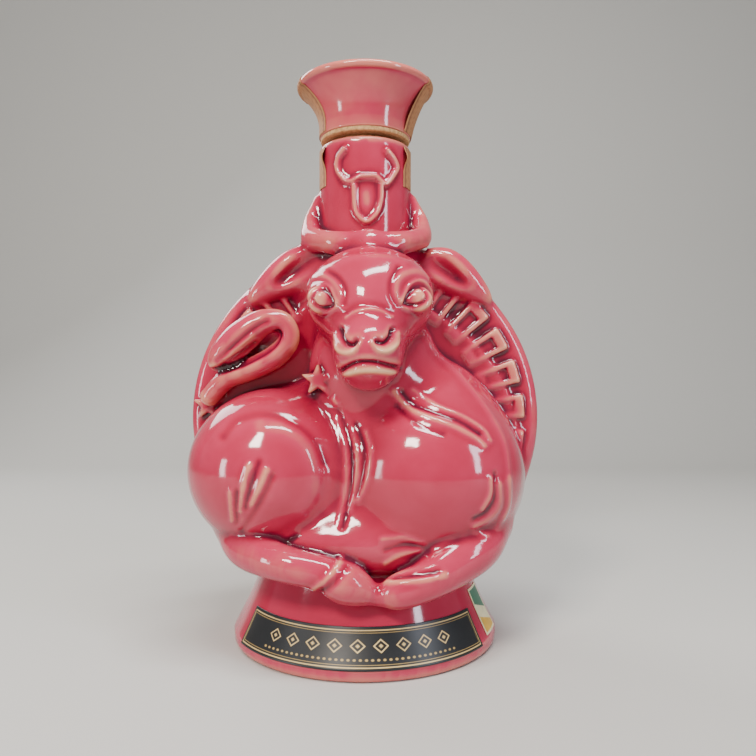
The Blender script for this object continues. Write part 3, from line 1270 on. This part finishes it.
def cork_bark():
    """Punched natural cork: warm brown, with dark lenticels about 3 mm apart and a fine grain."""
    material, tree, place = new_material("natural_cork")
    grain = add(tree, "ShaderNodeTexNoise", {"Vector": place, "Scale": pattern_scale(1.6), "Detail": 5.0})
    pore = add(tree, "ShaderNodeTexVoronoi", {"Vector": place, "Scale": pattern_scale(3.2)})
    colour = add(tree, "ShaderNodeValToRGB", {"Fac": grain.outputs["Fac"]}, CORK_COLOURS)
    edges = {"From Min": 0.12, "From Max": 0.25, "To Min": 0.35, "To Max": 1.0}
    spot = add(tree, "ShaderNodeMapRange", {"Value": pore.outputs["Distance"], **edges}).outputs["Result"]
    dark = add(tree, "ShaderNodeHueSaturation", {"Color": colour.outputs["Color"], "Value": spot})
    finish_surface(tree, dark.outputs["Color"], spot, 0.5, 0.4, Roughness=0.8)
    return material


# Stage, lights and camera, in metres and watts
FLOOR_COLOUR = "#b8b6b1"
FLOOR_ROUGHNESS = 0.8
SWEEP_FRONT = -2.5
SWEEP_BEND_START = 0.55
SWEEP_BEND_RADIUS = 0.35
SWEEP_BEND_STEPS = 24
SWEEP_HALF_WIDTH = 3.0
SWEEP_TOP = 3.0
SURROUND_COLOUR = "#dfe3e8"
SURROUND_STRENGTH = 0.43
BODY_AIM = (0.0, -0.02, 0.11)
FOOT_AIM = (0.0, 0.0, 0.03)
CLIP_START = 0.01

# Soft boxes: place, the point that each one faces, width and height, power and colour
LIGHTS = {
    "key": ((-0.35, -0.75, 0.75), BODY_AIM, (0.25, 0.18), 10.5, "#fff6ea"),
    "overhead": ((0.1, -0.25, 0.85), BODY_AIM, (0.5, 0.12), 8.0, "#ffffff"),
    "fill": ((0.75, -0.55, 0.35), BODY_AIM, (0.12, 0.5), 4.0, "#eaf1ff"),
    "back": ((-0.5, 0.45, 0.6), BODY_AIM, (0.4, 0.4), 4.0, "#ffffff"),
    "low": ((-0.8, -0.45, 0.1), FOOT_AIM, (0.12, 0.4), 3.0, "#ffffff"),
}


def make_stage():
    """A plain pale floor that curves up into a backdrop: flat in front, then a quarter turn, then
    upright."""
    material = new_material("pale_floor")[0]
    shader = material.node_tree.nodes["Principled BSDF"]
    shader.inputs["Base Color"].default_value = paint(FLOOR_COLOUR)
    shader.inputs["Roughness"].default_value = FLOOR_ROUGHNESS
    bend = np.linspace(0.0, math.pi / 2, SWEEP_BEND_STEPS)
    y = SWEEP_BEND_START + SWEEP_BEND_RADIUS * np.sin(bend)
    z = SWEEP_BEND_RADIUS * (1.0 - np.cos(bend))
    line = [(SWEEP_FRONT, 0.0), *zip(y, z), (y[-1], SWEEP_TOP)]
    points = [(side * SWEEP_HALF_WIDTH, *place) for place in line for side in (-1, 1)]
    mesh = bpy.data.meshes.new("sweep")
    mesh.from_pydata(points, [], grid_quads(len(line), 2).tolist())
    mesh.polygons.foreach_set("use_smooth", np.ones(len(mesh.polygons), bool))
    mesh.materials.append(material)
    sweep = bpy.data.objects.new("sweep", mesh)
    bpy.context.scene.collection.objects.link(sweep)


def area_light(name, place, aim, size, power, colour):
    """A rectangular soft box that faces the point it is aimed at."""
    light = bpy.data.lights.new(name, "AREA")
    light.shape = "RECTANGLE"
    light.size, light.size_y = size
    light.energy = power
    light.color = paint(colour)[:3]
    lamp = bpy.data.objects.new(name, light)
    lamp.location = place
    way = np.array(aim) - np.array(place)
    tilt = math.atan2(math.hypot(way[0], way[1]), -way[2])
    lamp.rotation_euler = (tilt, 0.0, math.atan2(-way[0], way[1]))
    bpy.context.scene.collection.objects.link(lamp)


def make_lights():
    """The soft boxes and an even, pale surround."""
    world = bpy.data.worlds.new("studio")
    world.use_nodes = True
    surround = world.node_tree.nodes["Background"]
    surround.inputs["Color"].default_value = paint(SURROUND_COLOUR)
    surround.inputs["Strength"].default_value = SURROUND_STRENGTH
    bpy.context.scene.world = world
    for name, values in LIGHTS.items():
        area_light(name, *values)


def make_camera():
    """The photograph's camera, level and facing the back."""
    camera = bpy.data.cameras.new("front")
    camera.sensor_width = SENSOR
    camera.lens = SENSOR * FOCAL_PIXELS / FRAME_PIXELS
    camera.clip_start = CLIP_START
    eye = bpy.data.objects.new("front", camera)
    eye.location = CAMERA * MM
    eye.rotation_euler = (math.pi / 2, 0.0, 0.0)
    bpy.context.scene.collection.objects.link(eye)
    bpy.context.scene.camera = eye


def main():
    """Makes every piece, then the stage, the lights and the camera."""
    glaze = rose_glaze()
    strip = printed_paper("aged_closure_paper", STRIP_COLOURS, 0.7, 0.5)
    sculpt_casting(glaze)
    make_stopper(glaze, fibre_board(), cork_bark())
    label = printed_paper("black_label_paper_gold_print", LABEL_COLOURS, 0.38, 0.4)
    foot_paper("foot_label", LABEL_LAY, label_ink, label, "label_paper")
    sticker = printed_paper("sticker_paper_green_cream_yellow", STICKER_COLOURS, 0.45, 0.4)
    foot_paper("side_sticker", STICKER_LAY, sticker_ink, sticker, "sticker_paper")
    make_neck_strip("left_neck_strip", -1, strip, 3)
    make_neck_strip("right_neck_strip", 1, strip, 8)
    make_stopper_strip(strip)
    make_stage()
    make_lights()
    make_camera()


main()
